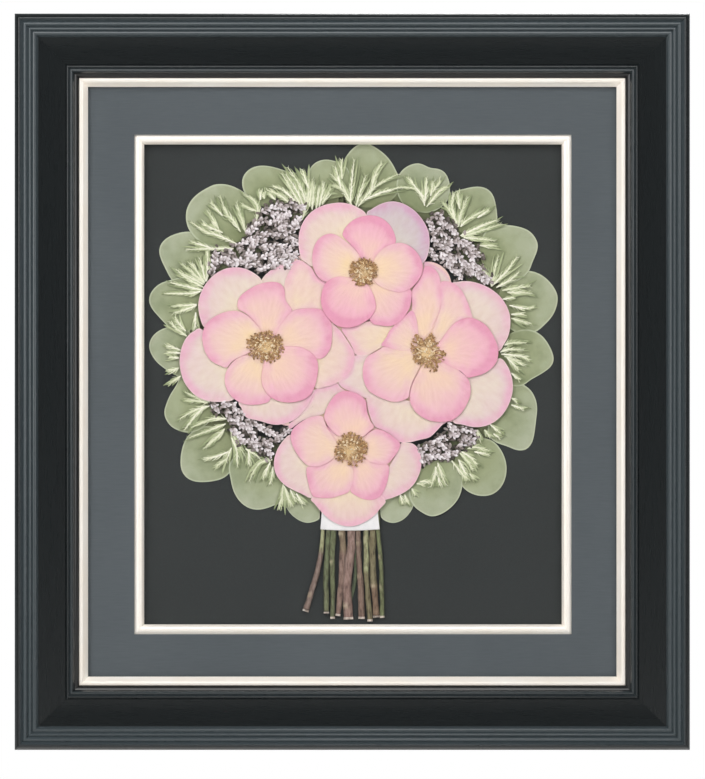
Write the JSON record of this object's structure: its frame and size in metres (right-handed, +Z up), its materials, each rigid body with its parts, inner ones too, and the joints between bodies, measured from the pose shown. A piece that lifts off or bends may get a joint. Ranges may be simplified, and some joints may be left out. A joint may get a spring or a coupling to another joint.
{
  "type": "framed pressed flower bouquet",
  "caption": "Pressed roses, florets, sage leaves and stems on charcoal board, behind glass in a reeded black frame with silver fillets.",
  "frame": {"origin": "on the wall plane, where the wall's nail carries the middle notch of the sawtooth hanger, 24 mm below the frame's top edge and midway across", "axes": "+Z up, +X to the viewer's right, +Y from the frame into the wall; the picture faces -Y"},
  "size_m": [0.507, 0.033, 0.553],
  "materials": {
    "black_lacquer": "satin black lacquer on wood",
    "fillet_silver": "champagne silver leaf on a wooden fillet",
    "picture_glass": "clear picture glass",
    "slate_mat": "slate grey mat card with a fine linen face",
    "spacer_foam": "black card spacer",
    "charcoal_board": "charcoal mount board",
    "backing_card": "plain brown backing card",
    "kraft_paper": "brown kraft paper",
    "hanger_steel": "zinc plated steel",
    "bumper_felt": "black felt",
    "leaf_sage": "dried sage green leaf with a pale rim",
    "rose_petal": "dried petal, cream at the base and pink at the rim",
    "floret_mauve": "dried grey mauve florets",
    "white_ribbon": "plain white ribbon",
    "stem_woody": "dried green and brown stem"
  },
  "bodies": {
    "root": {"backing_board": "backing_card", "bumper_left": "bumper_felt", "bumper_right": "bumper_felt", "dust_cover": "kraft_paper", "florets_low_left": "floret_mauve", "florets_low_right": "floret_mauve", "florets_top_left": "floret_mauve", "florets_top_right": "floret_mauve", "glass": "picture_glass", "inner_fillet_bottom": "fillet_silver", "inner_fillet_left": "fillet_silver", "inner_fillet_right": "fillet_silver", "inner_fillet_top": "fillet_silver", "leaf_left_1": "leaf_sage", "leaf_left_2": "leaf_sage", "leaf_left_3": "leaf_sage", "leaf_low_left_1": "leaf_sage", "leaf_low_left_2": "leaf_sage", "leaf_low_left_3": "leaf_sage", "leaf_low_right_1": "leaf_sage", "leaf_low_right_2": "leaf_sage", "leaf_low_right_3": "leaf_sage", "leaf_right_1": "leaf_sage", "leaf_right_2": "leaf_sage", "leaf_right_3": "leaf_sage", "leaf_top": "leaf_sage", "leaf_top_left_1": "leaf_sage", "leaf_top_left_2": "leaf_sage", "leaf_top_left_3": "leaf_sage", "leaf_top_left_4": "leaf_sage", "leaf_top_right_1": "leaf_sage", "leaf_top_right_2": "leaf_sage", "leaf_top_right_3": "leaf_sage", "mat": "slate_mat", "mount_board": "charcoal_board", "outer_fillet_bottom": "fillet_silver", "outer_fillet_left": "fillet_silver", "outer_fillet_right": "fillet_silver", "outer_fillet_top": "fillet_silver", "rail_bottom": "black_lacquer", "rail_left": "black_lacquer", "rail_right": "black_lacquer", "rail_top": "black_lacquer", "rose_bottom": "rose_petal", "rose_left": "rose_petal", "rose_right": "rose_petal", "rose_top": "rose_petal", "sawtooth_hanger": "hanger_steel", "spacer": "spacer_foam", "stem_1": "stem_woody", "stem_2": "stem_woody", "stem_3": "stem_woody", "stem_4": "stem_woody", "stem_5": "stem_woody", "stem_6": "stem_woody", "stem_7": "stem_woody", "stem_8": "stem_woody", "stem_9": "stem_woody", "stem_wrap": "white_ribbon"}
  },
  "joints": []
}
